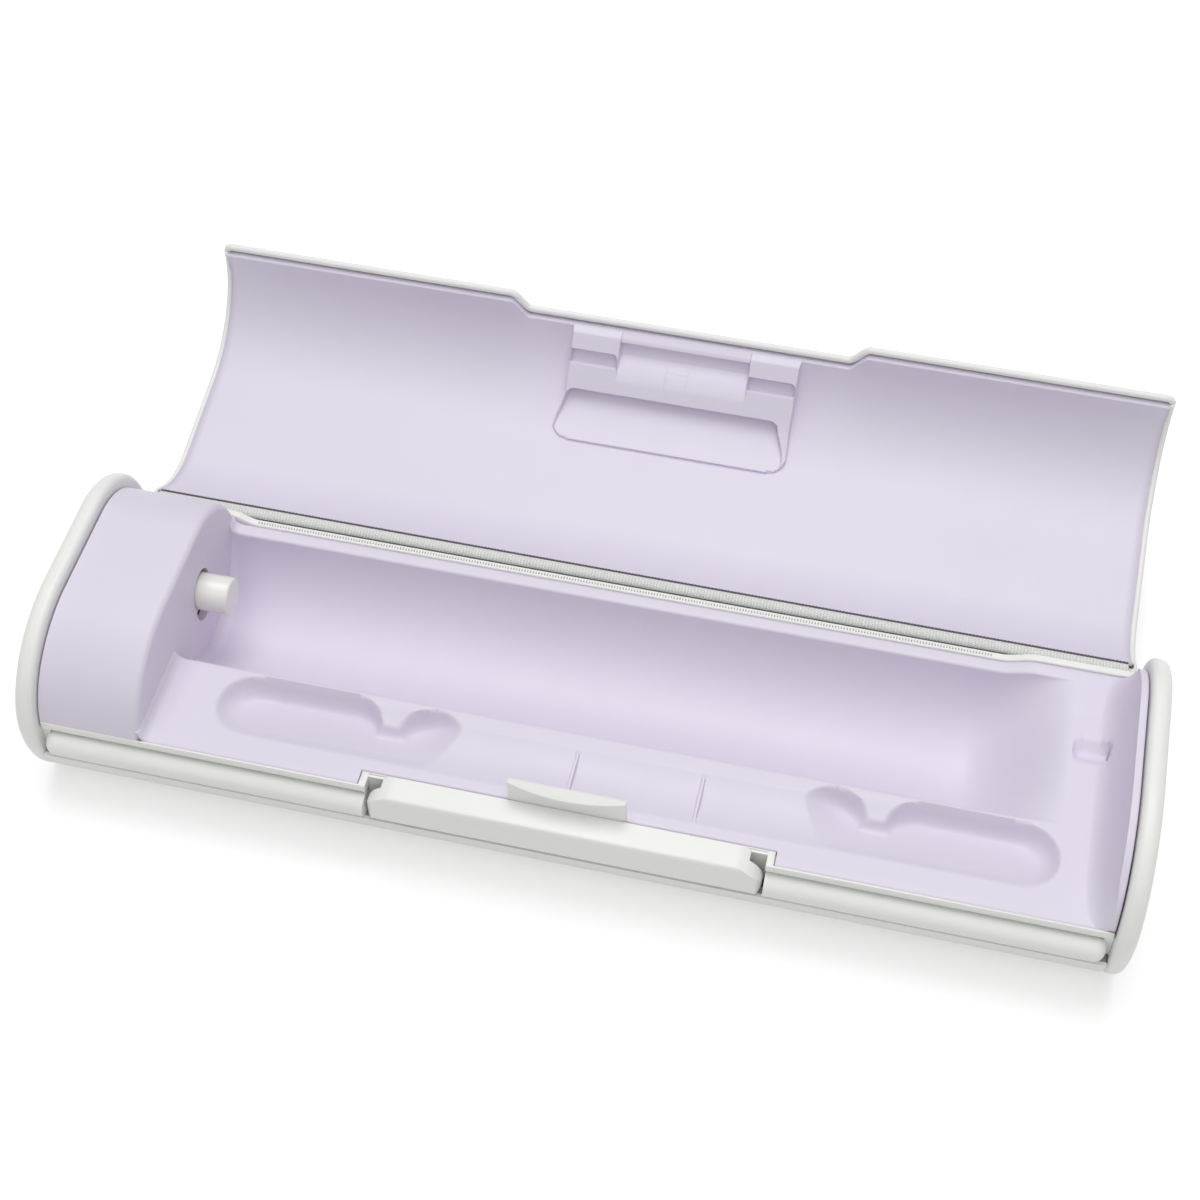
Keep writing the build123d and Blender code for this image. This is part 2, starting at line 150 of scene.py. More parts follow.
def piece(name, shape, material, body, stands_for, wall=None, round_edges=None, smooth_angle=40):
    """Turn a finished bmesh, in millimetres, into a piece of the case."""
    bmesh.ops.scale(shape, vec=(0.001, 0.001, 0.001), verts=shape.verts)
    mesh = bpy.data.meshes.new(name)
    shape.to_mesh(mesh)
    shape.free()
    mesh.materials.append(material)
    thing = bpy.data.objects.new(name, mesh)
    bpy.context.scene.collection.objects.link(thing)
    if wall:
        solid = thing.modifiers.new("wall", "SOLIDIFY")
        solid.thickness, solid.offset = wall / 1000, -1
    if round_edges:
        bevel = thing.modifiers.new("edges", "BEVEL")
        bevel.width, bevel.segments = round_edges / 1000, 3
        bevel.limit_method, bevel.angle_limit = "ANGLE", radians(40)
    mesh.shade_smooth()
    mesh.set_sharp_from_angle(angle=radians(smooth_angle))
    if body:
        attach(thing, body)
    if stands_for:
        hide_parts(*stands_for)
    return thing


rail_reach, rail_end, rail_depth, rail_heights = 119.6, 117.6, (-32.6, -30.6), (16.8, 24.0)
well_sides, well_depth, well_heights = ((-43.8, -38.5), (40.5, 45.8)), (-30.2, -29.55), (16.0, 26.0)
rail_sides = ((-rail_reach, -rail_end), (rail_end, rail_reach))
return_walls = [tuple(zip(side, well_depth, well_heights)) for side in well_sides]
return_walls += [tuple(zip(side, rail_depth, rail_heights)) for side in rail_sides]
softened("front_rail", white_plastic, "base", 0.15, merge_flats=False, added=return_walls)
softened("rear_rail", white_plastic, "base", 0.3)


# ------------------------------------------------------------------ charger
# Behind the block a small board on two posts feeds the coil in the pin; a barrel socket for the
# low-voltage lead is set in the left end cap.

def plain_finish(name, colour, roughness, metallic=0.0, pattern_scale=400, depth=0.02, contrast=0.12):
    """Metal, ferrite or board surface: a fine even pattern in its tint and relief."""
    material = bpy.data.materials.new(name)
    material.use_nodes = True
    nodes, links = material.node_tree.nodes, material.node_tree.links
    shader = nodes["Principled BSDF"]
    shader.inputs["Metallic"].default_value = metallic
    shader.inputs["Roughness"].default_value = roughness
    place = nodes.new("ShaderNodeTexCoord")
    pattern = nodes.new("ShaderNodeTexNoise")
    pattern.inputs["Scale"].default_value = pattern_scale
    pattern.inputs["Detail"].default_value = 4
    links.new(place.outputs["Object"], pattern.inputs["Vector"])
    mix = nodes.new("ShaderNodeMix")
    mix.data_type = "RGBA"
    mix.inputs["A"].default_value = (*[part * (1 - contrast) for part in colour], 1)
    mix.inputs["B"].default_value = (*[min(1, part * (1 + contrast)) for part in colour], 1)
    links.new(pattern.outputs["Fac"], mix.inputs["Factor"])
    links.new(mix.outputs["Result"], shader.inputs["Base Color"])
    bump = nodes.new("ShaderNodeBump")
    bump.inputs["Strength"].default_value = 0.4
    bump.inputs["Distance"].default_value = depth / 1000
    links.new(pattern.outputs["Fac"], bump.inputs["Height"])
    links.new(bump.outputs["Normal"], shader.inputs["Normal"])
    return material


finish_node("circuit_board", plain_finish("green_board", (0.03, 0.16, 0.07), 0.45, contrast=0.3))
finish_node("power_socket", plain_finish("black_socket", (0.02, 0.02, 0.022), 0.4))
bright_steel = plain_finish("bright_steel", (0.62, 0.62, 0.64), 0.3, metallic=1.0, pattern_scale=900)
finish_node("board_screws", bright_steel)
finish_node("pin_axle", bright_steel)


# ------------------------------------------------------------------ charging block and pin
# A hollow lilac moulding covers the charger. The white pin tilts on a steel axle in its bracket, carries
# the coil on a ferrite core, and its flap fills the slot behind it.

lilac_plastic = moulded_plastic("lilac_plastic", (0.735, 0.685, 0.80), 0.46)
pin_plastic = moulded_plastic("gloss_white_pin", (0.86, 0.845, 0.80), 0.24, grain=0.004, coat=0.5)
softened("block_cover", lilac_plastic, "base", 0.25)
softened("pin_sleeve", pin_plastic, "pin", 0.2)
finish_node("pin_bracket", grey_plastic)
finish_node("ferrite_core", plain_finish("grey_ferrite", (0.07, 0.07, 0.075), 0.6))
finish_node("charging_coil", plain_finish("enamelled_copper", (0.62, 0.24, 0.09), 0.3, metallic=1.0))


# ------------------------------------------------------------------ tray
# One lilac ABS moulding: flat shelf, half-round trough for the handle, two pockets for brush heads,
# and a hollow-curved bulkhead at the right end. It clips down over the bowl and is open underneath.

half_depth, case_height = 36.0, 47.5
mid_height = case_height / 2
top_flat = (-8.0, 14.0)
latch_x = 1.0
insert_inset = 3.0
tray_wall = 1.3

shelf_top = 26.2
tray_start, cove_start, bulkhead_end = -95.8, 111.6, 119.2
tray_front, tray_back, shelf_front = -32.6, 32.4, -27.4
notch_half, notch_back, notch_step = 46.4, -29.0, 0.02
lip_radius, lip_drop = 0.45, 1.1

trough_y, trough_z, trough_radius = 10.25, 26.5, 18.75
front_rim_radius, rear_rim_radius = 1.1, 0.7
trough_rise_start, trough_rise_end = 84.0, 107.0
rim_steps, floor_steps = 6, 44

pocket_mirror_x = 12.0
pocket_y, pocket_radius, pocket_depth = -18.0, 8.0, 6.2
wall_reach, end_reach, wall_curve = 3.6, 6.5, 3.3
front_step, floor_curve = 0.35, 1.35
long_lobe, soft_end = (-82.5, -44.0), (-80.5, -70.5)
short_lobe, short_fade = (-41.6, -25.2), (-37.0, -23.5)
neck_x, neck_sides, neck_rear, neck_lap = -43.4, (3.0, 5.2), -9.8, 0.3
neck_ledge_y, neck_ledge_drop, neck_ledge_slope = -15.5, 1.7, 1.0
recess_y, recess_z, recess_radius, recess_x, recess_run = -19.5, 42.2, 17.3, (-42.0, 66.0), 8.0
rib_x, rib_half = (0.0, 28.4), 0.45

cove_depth, crest_rise = 6.4, 0.3
bulkhead_top = case_height - insert_inset
saddle_y, saddle_radius, saddle_x = 12.0, 2.3, 106.5
rear_step_x, rear_step_y, rear_step_rise = (88.0, 97.0), (21.0, 31.0), 2.0
block_foot_radius = 2.6


def smooth(value, start, end):
    """0 before start, 1 after end, and a soft S between."""
    t = min(1.0, max(0.0, (value - start) / (end - start)))
    return t * t * (3 - 2 * t)


def spaced(*stops):
    """Positions from stop to stop: each stop is (place, largest step up to the next)."""
    places = [stops[0][0]]
    for (start, step), (end, _) in zip(stops, stops[1:]):
        count = max(1, round((end - start) / step))
        places += [start + (end - start) * i / count for i in range(1, count + 1)]
    return places


def outline_top(y, inset):
    """Height of the closed case's upper outline at y, moved in by inset."""
    beyond = min(0.0, y - top_flat[0]) + max(0.0, y - top_flat[1])
    semi = (half_depth + top_flat[0] if beyond < 0 else half_depth - top_flat[1]) - inset
    return mid_height + (mid_height - inset) * sqrt(max(0.0, 1 - (beyond / semi) ** 2))


def lobe_reach(x, y, ends):
    """How far a point lies inside the wall of one round-ended lobe."""
    nearest = min(max(x, ends[0] + pocket_radius), ends[1] - pocket_radius)
    return pocket_radius - sqrt((x - nearest) ** 2 + (y - pocket_y) ** 2)


def pocket_drop(x, y):
    """Depth of a whole pocket: steep rear wall, floor rising to a faint front edge, neck with a buttress."""
    reach = max(lobe_reach(x, y, long_lobe), lobe_reach(x, y, short_lobe))
    neck_back = neck_ledge_y + neck_lap
    if long_lobe[1] - pocket_radius < x < short_lobe[0] + pocket_radius and y < neck_back:
        reach = max(reach, min(neck_back - y, y - pocket_y + pocket_radius))
    depth = 0.0
    if reach > 0:
        front = (pocket_y + pocket_radius - y) / (2 * pocket_radius)
        floor = front_step + (pocket_depth - front_step) * (1 - front ** floor_curve)
        floor *= 1 - smooth(x, *short_fade)
        foot = wall_reach + (end_reach - wall_reach) * (1 - smooth(x, *soft_end))
        steep = min(1.0, reach / foot)
        depth = floor * (1 - (1 - steep) ** wall_curve)
    beside = 1 - smooth(abs(x - neck_x), *neck_sides)
    if neck_ledge_y < y < neck_rear:
        ledge = neck_ledge_drop * (1 - smooth(y, neck_ledge_y - neck_ledge_slope, neck_rear))
        depth = max(depth, ledge * beside)
    return depth


def shelf_height(x, y):
    """Shelf with its pockets, centre recess and two ribs."""
    drop = pocket_drop(x, y) if x < pocket_mirror_x else pocket_drop(2 * pocket_mirror_x - x, y)
    if recess_x[0] < x < recess_x[1] and not any(abs(x - rib) < rib_half for rib in rib_x):
        hollow = shelf_top - recess_z + sqrt(max(0.0, recess_radius ** 2 - (y - recess_y) ** 2))
        ends = smooth(x, recess_x[0], recess_x[0] + recess_run)
        ends *= smooth(-x, -recess_x[1], recess_run - recess_x[1])
        drop = max(drop, hollow * ends)
    return shelf_top - drop


def trough_rows():
    """(y, depth below the shelf) from the front rim of the trough, round its floor, to the rear rim."""
    rims, meets = [], []
    for side, rim in ((-1, front_rim_radius), (1, rear_rim_radius)):
        reach, rise = trough_radius + rim, rim + trough_z - shelf_top
        rim_y = trough_y + side * sqrt(reach ** 2 - rise ** 2)
        meet = asin(rise / reach)
        steps = [pi / 2 - (pi / 2 - meet) * i / rim_steps for i in range(rim_steps + 1)]
        rims.append([(rim_y - side * rim * cos(a), rim - rim * sin(a)) for a in steps])
        meets.append(meet)
    turns = [meets[0] + (pi - sum(meets)) * i / floor_steps for i in range(1, floor_steps)]
    axis_depth = shelf_top - trough_z
    floor = [(trough_y - trough_radius * cos(a), axis_depth + trough_radius * sin(a)) for a in turns]
    return rims[0] + floor + rims[1][::-1]


def rear_lift(x, y):
    """The rear of the moulding rises in a soft step towards the right end."""
    return rear_step_rise * smooth(x, *rear_step_x) * smooth(y, *rear_step_y)


def tray_height(x, y, trough_depth):
    """Top face of the tray left of the bulkhead."""
    fade = 1 - smooth(x, trough_rise_start, trough_rise_end)
    height = shelf_height(x, y) if trough_depth is None else shelf_top - trough_depth * fade
    from_block = x - tray_start
    if from_block < block_foot_radius:
        height += block_foot_radius - sqrt(block_foot_radius ** 2 - (block_foot_radius - from_block) ** 2)
    if x > saddle_x and abs(y - saddle_y) < saddle_radius:
        nose = max(0.0, 1 - (x - saddle_x) / saddle_radius)
        across = (y - saddle_y) / saddle_radius
        height -= saddle_radius * sqrt(max(0.0, 1 - nose * nose - across * across))
    return height + rear_lift(x, y)


def cove_point(y, turn):
    """Point (x, z) on the bulkhead's hollow face, turn from 0 at the shelf to 1 at its crest."""
    foot = shelf_top + rear_lift(cove_start, y)
    rise = bulkhead_top - foot
    crest = max(foot + crest_rise, min(bulkhead_top, outline_top(y, insert_inset)))
    full = acos(min(1.0, (bulkhead_top - crest) / rise))
    x = cove_start + cove_depth * (1 - sin(full) + sin(turn * full))
    z = bulkhead_top - rise * cos(turn * full)
    reach = saddle_radius ** 2 - (y - saddle_y) ** 2
    if reach > 0 and z < shelf_top + sqrt(reach):
        z = shelf_top - sqrt(reach)
    return x, z


def tray_point(column, row):
    """Corner of the tray, along the shelf or up the cove, from the front lip to the rear lip."""
    part, at = column
    kind, (y, depth) = row
    drop = 0.0
    if kind in ("front", "land"):
        in_notch = part == "shelf" and abs(at - latch_x) < notch_half - notch_step / 2
        edge = notch_back if in_notch else tray_front
    if kind == "front":
        y, drop, depth = y + edge, depth, None
    elif kind == "land":
        y = edge + lip_radius + (shelf_front - edge - lip_radius) * y
    elif kind == "rear":
        drop, depth = depth, None
    if part == "shelf":
        return Vector((at, y, tray_height(at, y, depth) - drop))
    x, z = cove_point(y, at if part == "cove" else 1.0)
    if part == "crest":
        x += (bulkhead_end - x) * at
    return Vector((x, y, z - drop))


def net(columns, rows, place):
    """Sheet with a corner for each column and row, where place(column, row) says."""
    shape = bmesh.new()
    bmesh.ops.create_grid(shape, x_segments=len(columns) - 1, y_segments=len(rows) - 1, size=0.5)
    for corner in shape.verts:
        column = round((corner.co.x + 0.5) * (len(columns) - 1))
        row = round((corner.co.y + 0.5) * (len(rows) - 1))
        corner.co = place(columns[column], rows[row])
    return shape


def face_towards(shape, direction):
    """Turn a sheet's faces to look along direction, taken as a whole."""
    bmesh.ops.recalc_face_normals(shape, faces=shape.faces)
    if sum(face.normal.dot(direction) * face.calc_area() for face in shape.faces) < 0:
        bmesh.ops.reverse_faces(shape, faces=shape.faces)


places = spaced((tray_start, 0.3), (-92.8, 1.5), (-83.2, 0.5), (-23.0, 1.6), (-1.0, 0.25), (1.0, 1.6),
                (27.4, 0.25), (29.4, 1.6), (47.0, 0.5), (107.5, 0.25), (cove_start, 0.25))
for notch_edge in (latch_x - notch_half, latch_x + notch_half - notch_step):
    places += [notch_edge, notch_edge + notch_step]
cove_steps, crest_steps = 26, 3
columns = [("shelf", x) for x in sorted(places)]
columns += [("cove", i / cove_steps) for i in range(1, cove_steps + 1)]
columns += [("crest", i / crest_steps) for i in range(1, crest_steps + 1)]

front_rows = [(0.0, lip_drop), (0.0, lip_radius), (0.13, 0.13), (lip_radius, 0.0)]
rear_rows = [(tray_back - 1.3, 0.0), (tray_back - lip_radius, 0.0)]
rear_rows += [(tray_back, lip_radius), (tray_back, lip_drop)]
shelf_rows = spaced((shelf_front, 0.45), (-14.5, 0.28), (-10.2, 0.2))
sections = [("front", row) for row in front_rows] + [("land", (share, None)) for share in (0.35, 0.7)]
sections += [("shelf", (y, None)) for y in shelf_rows]
sections += [("trough", row) for row in trough_rows()] + [("rear", row) for row in rear_rows]

tray = net(columns, sections, tray_point)
crest_x, crest_low, crest_round = cove_start + cove_depth, 33.0, 0.4
on_crest = {corner for corner in tray.verts if abs(corner.co.x - crest_x) < 0.001 and corner.co.z > crest_low}
crest = [edge for edge in tray.edges if on_crest.issuperset(edge.verts)]
bmesh.ops.bevel(tray, geom=crest, offset=crest_round, segments=3, profile=0.5, affect="EDGES", material=-1)
face_towards(tray, Vector((0, 0, 1)))
piece("tray_moulding", tray, lilac_plastic, "base", ["tray"], wall=tray_wall,
      smooth_angle=60)


# ------------------------------------------------------------------ lid shell
# Stiff lilac ABS shell, bonded inside the white cover; its notch leaves room for the button.
# It is drawn closed, over the tray, and then turned open about the hinge.

hinge_y, hinge_z, open_angle = 34.2, 30.1, 169.3
roll_edge_z, lid_lip_z = 24.2, 37.0
notch_foot, notch_head, notch_depth, slope_start, slope_end = 45.2, 40.0, 4.5, 39.2, 46.0
shell_inset, shell_wall, shell_gap, shell_end = 2.3, 1.0, 1.5, 118.2
edge_face = [(0.8, 1.3), (1.6, 1.3), (2.55, 1.3), (2.7, 1.45)]
edge_bead, edge_bead_reach, bead_clear = 0.4, 0.22, 2.0
just_past = 1e-6


def edge_height(x, gap):
    """Height of the lid's front edge, which rises over the button in two soft S-curves."""
    return roll_edge_z + gap + notch_depth * (1 - smooth(abs(x - latch_x), notch_head, notch_foot))


def outline_point(x, angle, inset):
    """Point on the outline's upper half: angle 0 at the front, pi / 2 along the flat top, pi at the back."""
    centre, semi = top_flat[0], half_depth + top_flat[0] - inset
    if angle > pi / 2:
        centre, semi = top_flat[1], half_depth - top_flat[1] - inset
    return Vector((x, centre - semi * cos(angle), mid_height + (mid_height - inset) * sin(angle)))


def lid_point(x, turn, inset, gap):
    """Point on the closed lid: turn 0 is the front edge, 1 and 2 the ends of the flat, 3 the rear lip."""
    rise = mid_height - inset
    front = asin((edge_height(x, gap) - mid_height) / rise)
    rear = asin((lid_lip_z - mid_height) / rise)
    if turn <= 1:
        return outline_point(x, front + (pi / 2 - front) * turn, inset)
    if turn < 2:
        y = top_flat[0] + (top_flat[1] - top_flat[0]) * (turn - 1)
        return Vector((x, y, 2 * mid_height - inset))
    return outline_point(x, pi / 2 + just_past + (pi / 2 - rear) * (turn - 2), inset)


def turn_open(shape):
    """Swing a piece of the lid from the closed pose to the open one."""
    swing = Matrix.Rotation(-radians(open_angle), 3, "X")
    bmesh.ops.rotate(shape, cent=(0, hinge_y, hinge_z), matrix=swing, verts=shape.verts)


def lid_columns(reach):
    """Positions along the lid, close together where its edge rises over the button."""
    return spaced((-reach, 2.4), (latch_x - slope_end, 0.35), (latch_x - slope_start, 2.6),
                  (latch_x + slope_start, 0.35), (latch_x + slope_end, 2.4), (reach, 1))


def shell_point(x, row):
    """Point on the lilac face; the first rows are (inset, gap) across the slanting free edge."""
    bead = edge_bead * smooth(abs(x - latch_x), notch_head - bead_clear, notch_foot)
    if row in edge_face:
        inset, gap = row
        return lid_point(x, 0, inset - (edge_bead - bead if inset > shell_inset else 0), gap)
    return lid_point(x, row, shell_inset + bead * (1 - smooth(row, 0, edge_bead_reach)), shell_gap)


turns = spaced((0, 0.03), (1, 0.2), (2, 0.06), (3, 1))
shell = net(lid_columns(shell_end), edge_face + turns, shell_point)
face_towards(shell, Vector((0, 0, -1)))
turn_open(shell)
piece("lid_inner_shell", shell, lilac_plastic, "lid", ["lid_shell"], wall=shell_wall,
      smooth_angle=30)


# ------------------------------------------------------------------ lid cover
# Soft-touch white cover, one skin from end to end, turned in round both ends of the lilac shell.
# Its wall is thin and its wrapped ends show as a narrow rim beside the lilac.

cover_gap, cover_skin = 1.0, 0.7
rim_centre_x, rim_reach, rim_inset, wrap_steps = 118.5, 0.8, 1.2, 10
wrap_lap, wrap_gap = 0.6, 0.02
end_turns = [-pi / 2 + pi * i / wrap_steps for i in range(wrap_steps + 1)]
right_wrap = [(rim_centre_x + rim_reach * cos(a), rim_inset - rim_inset * sin(a)) for a in end_turns]
right_wrap = [(rim_centre_x - wrap_lap, 2 * rim_inset - wrap_gap)] + right_wrap
left_wrap = [(-x, inset) for x, inset in right_wrap]
cover_columns = left_wrap + [(x, 0.0) for x in lid_columns(shell_end)[1:-1]] + right_wrap[::-1]
cover = net(cover_columns, turns, lambda place, turn: lid_point(place[0], turn, place[1], cover_gap))
face_towards(cover, Vector((0, 0, 1)))
turn_open(cover)
piece("lid_cover", cover, soft_cover, "lid", ["lid_skin"], wall=cover_skin, smooth_angle=50)


# ------------------------------------------------------------------ piping
# The free edge of the white cover is rolled over a cord; at both ends it turns the corner and runs out
# along the wrapped rim, with small gathers where the skin bunches.

piping_radius, piping_corner, piping_end_x = 0.85, 1.3, 118.5
piping_y, piping_notch_y, piping_z = -35.15, -34.5, 24.3
corner_steps, end_steps, end_step, end_inset = 12, 14, 0.7, 1.0
fold_height, fold_turn = 0.09, 9
end_taper, ripple_height, ripple_turn = 0.4, 0.04, 2.3


def piping_front(x):
    """Centre of the piping along the front edge."""
    rise = 1 - smooth(abs(x - latch_x), notch_head, notch_foot)
    return Vector((x, piping_y + (piping_notch_y - piping_y) * rise, edge_height(x, piping_z - roll_edge_z)))


def piping_end(side):
    """Centre and thickness from the front edge, round the corner and up the lid's end."""
    line = []
    for i in range(1, corner_steps + 1):
        angle = pi / 2 * i / corner_steps
        gather = 1 + fold_height * sin(angle * fold_turn)
        x = side * (piping_end_x - piping_corner + piping_corner * sin(angle))
        line.append((Vector((x, piping_y, piping_z + piping_corner * (1 - cos(angle)))), gather))
    for i in range(1, end_steps + 1):
        z = piping_z + piping_corner + end_step * i
        angle = asin((z - mid_height) / (mid_height - end_inset))
        ripple = ripple_height * sin(i * ripple_turn) * smooth(-i, -8, 0)
        gather = 1 - end_taper * smooth(i, 2, end_steps) + ripple
        line.append((outline_point(side * piping_end_x, angle, end_inset), gather))
    return line


def tube(name, line, radius, sides=4):
    """Bmesh of a round cord along line, a list of (centre, thickness)."""
    data = bpy.data.curves.new(name, "CURVE")
    data.dimensions = "3D"
    data.bevel_depth, data.bevel_resolution, data.use_fill_caps = radius, sides, True
    spline = data.splines.new("POLY")
    spline.points.add(len(line) - 1)
    for point, (centre, thickness) in zip(spline.points, line):
        point.co = (*centre, 1)
        point.radius = thickness
    cord = bpy.data.objects.new(name, data)
    mesh = bpy.data.meshes.new_from_object(cord)
    shape = bmesh.new()
    shape.from_mesh(mesh)
    bpy.data.objects.remove(cord)
    bpy.data.meshes.remove(mesh)
    return shape


piping_line = [(piping_front(x), 1.0) for x in lid_columns(piping_end_x - piping_corner)]
piping_line = piping_end(-1)[::-1] + piping_line + piping_end(1)
piping = tube("piping", piping_line, piping_radius)
turn_open(piping)
piece("rolled_edge", piping, soft_cover, "lid", ["lid_piping"], smooth_angle=50)


# ------------------------------------------------------------------ catch housing
# Lilac block bonded behind the lid's notch: two teeth with undercuts, a recess that the hook snaps into, and
# below the ledge a deep hollow that leaves room for the brush heads. A mould insert leaves witness lines.

plate_left, plate_right = -27.7, 29.7
plate_top, plate_ledge = (-30.6, 30.0), (-19.9, 39.25)
border_left, border_right = -29.5, 30.1
plate_length = sqrt((plate_ledge[0] - plate_top[0]) ** 2 + (plate_ledge[1] - plate_top[1]) ** 2)
ledge_angle, border_angle = radians(56.0), radians(89.0)
top_angle = asin((plate_top[1] - mid_height) / (mid_height - shell_inset))
border_lift, bed_lift = 0.75, -0.15
recess_sides = (-15.3, 17.3)
undercuts = ((-27.35, -15.6), (17.6, 29.35))
undercut_rows, undercut_depth, undercut_corner, undercut_soft = (4.3, 7.6), 2.1, 1.6, 0.3
strip_depth, strip_edge, recess_depth, recess_soft = 0.8, 0.08, 2.75, 0.35
recess_flat, recess_end, recess_curve = 4.0, 11.0, 1.6
slot_rows, slot_depth, slot_soft = (0.95, 1.4), 0.45, 0.12
witness_x, witness_rows = (-3.3, 2.4), (5.6, 6.9, 11.2)
line_width, line_soft, line_depth = 0.2, 0.15, 0.09
hollow_left, hollow_right, hollow_soft, hollow_run = (-27.0, -28.8), (26.1, 28.9), 0.6, 0.8
wall_share, floor_bow, floor_lift = 0.06, Vector((0.4, -0.7)), 0.15
ledge_corner, hollow_length = 1.8, 12.5
corner_radius, floor_length, widen_run = 4.0, 11.5, 0.75
side_round, side_lap = 0.3, 0.02


def within(value, low, high, soft):
    """1 between low and high, 0 outside, with soft sides of the given width."""
    past_low = smooth(value, low - soft / 2, low + soft / 2)
    return past_low * (1 - smooth(value, high - soft / 2, high + soft / 2))


def undercut(x, s):
    """1 inside one of the undercuts below the teeth, whose corner by the plate's end is round."""
    for start, end in undercuts:
        reach = max(0.0, x - (end - undercut_corner)) / undercut_corner
        top = undercut_rows[0] + undercut_corner * (1 - sqrt(max(0.0, 1 - min(1, reach) ** 2)))
        inside = within(x, start, end, undercut_soft) * within(s, top, undercut_rows[1], undercut_soft)
        if inside > 0:
            return inside
    return 0.0


def sunk(x, s):
    """Depth below the catch plate's face at distance s from its free edge."""
    depth = undercut_depth * undercut(x, s)
    inside = within(x, *recess_sides, recess_soft)
    past_strip = smooth(s, slot_rows[0] - strip_edge, slot_rows[0] + strip_edge)
    strip = strip_depth + (recess_depth - strip_depth) * past_strip
    hollow = strip * min(1.0, max(0.0, (recess_end - s) / (recess_end - recess_flat))) ** recess_curve
    hollow += slot_depth * within(s, *slot_rows, slot_soft)
    depth = max(depth, inside * hollow)
    left, right = witness_x
    lines = within(x, left, left + line_width, line_soft) + within(x, right - line_width, right, line_soft)
    lines *= within(s, witness_rows[0], witness_rows[2], line_width)
    for row in witness_rows[:2]:
        across = within(s, row, row + line_width, line_soft)
        lines = max(lines, across * within(x, *witness_x, line_soft))
    return depth + line_depth * min(1.0, lines)


def plate_face(x, row):
    """Full-height point and bed angle at one row of the catch housing."""
    kind, t = row
    inward = Vector((plate_ledge[1] - plate_top[1], -(plate_ledge[0] - plate_top[0]))).normalized()
    along = Vector((plate_ledge[0] - plate_top[0], plate_ledge[1] - plate_top[1])) / plate_length
    if kind == "plate":
        place = Vector(plate_top) + along * t - inward * sunk(x, t)
        return top_angle + (ledge_angle - top_angle) * t / plate_length, place
    share = wall_share * t if kind == "wall" else wall_share + (1 - wall_share) * t
    angle = ledge_angle + (border_angle - ledge_angle) * (share if kind == "floor" else 0.0)
    end = outline_point(x, border_angle, shell_inset + border_lift)
    border = Vector((end.y, end.z))
    strip = Vector(plate_ledge).lerp(border, share)
    strip -= floor_bow * 4 * share * (1 - share)
    low = outline_point(x, angle, shell_inset + floor_lift + (border_lift - floor_lift) * share)
    hollow = Vector((low.y, low.z))
    if kind == "wall":
        hollow = Vector(plate_ledge).lerp(hollow, t)
    right_side = hollow_right[0] + (hollow_right[1] - hollow_right[0]) * smooth(share, 0, hollow_run)
    left_side = hollow_left[0] + (hollow_left[1] - hollow_left[0]) * smooth(share, 0, hollow_run)
    into = 1 - min(1.0, share * hollow_length / ledge_corner)
    turned = ledge_corner * (1 - sqrt(max(0.0, 1 - into * into)))
    inside = within(x, left_side + turned, right_side - turned, hollow_soft)
    return angle, strip.lerp(hollow, inside)


def catch_point(x, row):
    """Corner of the catch housing at x and row; the row's third value is its height above the bed."""
    kind, t, height = row
    left, right = plate_left, plate_right
    if kind == "floor":
        into = max(0.0, t * floor_length - (floor_length - corner_radius))
        narrow = corner_radius - sqrt(max(0.0, corner_radius ** 2 - into ** 2))
        widen = smooth(t, 0, widen_run)
        left, right = left + (border_left - left) * widen, right + (border_right - right) * widen
        x = plate_left + (x - plate_left) * (right - left) / (plate_right - plate_left) + left - plate_left
        left, right = left + narrow, right - narrow
    side = min(x - left, right - x)
    x = min(max(x, left), right)
    height = min(height, sqrt(smooth(side, -side_lap, side_round)))
    angle, top = plate_face(x, (kind, t))
    bed = outline_point(x, angle, shell_inset + bed_lift)
    return bed.lerp(Vector((x, *top)), height)


plate_rows = [("plate", 0.0, 0.0), ("plate", 0.0, 0.88), ("plate", 0.1, 0.97), ("plate", 0.3, 1.0)]
plate_along = spaced((0.5, 0.12), (2.2, 0.3), (3.7, 0.1), (4.3, 0.3), (13.7, 0.1))
plate_rows += [("plate", s, 1.0) for s in plate_along] + [("plate", plate_length - 0.12, 0.995)]
plate_rows += [("wall", i / 10, 1.0) for i in range(1, 11)] + [("floor", i / 26, 1.0) for i in range(1, 27)]
plate_rows += [("floor", 1.0, 0.8), ("floor", 1.0, 0.0)]
plate_stops = ((plate_left - side_lap, 0.08), (-27.3, 0.12), (-26.4, 0.22), (-23.8, 0.7), (-16.4, 0.12),
               (-15.0, 0.9), (-3.6, 0.1), (-3.0, 0.8), (2.1, 0.1), (2.6, 0.9), (17.0, 0.12), (18.4, 0.6),
               (22.4, 0.22), (28.0, 0.12), (29.3, 0.08), (plate_right + side_lap, 1))
catch = net(spaced(*plate_stops), plate_rows, catch_point)
face_towards(catch, Vector((0, 0.6, -0.8)))
turn_open(catch)
piece("catch_block", catch, lilac_plastic, "lid", ["catch_housing"], smooth_angle=38)
